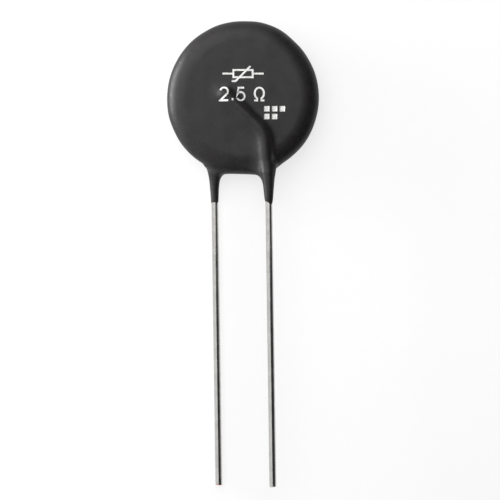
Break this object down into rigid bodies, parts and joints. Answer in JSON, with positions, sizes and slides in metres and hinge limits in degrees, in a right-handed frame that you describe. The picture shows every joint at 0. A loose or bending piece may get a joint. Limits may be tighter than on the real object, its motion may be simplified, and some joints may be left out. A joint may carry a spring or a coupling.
{
  "type": "ntc thermistor",
  "caption": "Disc ntc thermistor dipped in black resin, with a ridge over the wire on each face and two straight tinned leads.",
  "frame": {"origin": "bottom centre of the part's box, with the part lying on its back on the ridge over the back wire", "axes": "+Z out of the front face, +Y along the leads from their cut ends towards the disc, +X to the right seen from the front"},
  "size_m": [0.022, 0.0674, 0.0057],
  "materials": {
    "epoxy_coat": "satin black dipped epoxy with a faint orange peel",
    "tinned_copper": "bright tin plate on drawn copper wire",
    "oxide_ceramic": "matt pressed and fired metal oxide",
    "fired_silver": "satin fired silver layer",
    "solder": "satin solder"
  },
  "bodies": {
    "root": {"coating": "epoxy_coat", "front_lead": "tinned_copper", "back_lead": "tinned_copper", "ceramic_disc": "oxide_ceramic", "front_electrode": "fired_silver", "back_electrode": "fired_silver", "front_solder_joint": "solder", "back_solder_joint": "solder"}
  },
  "joints": []
}
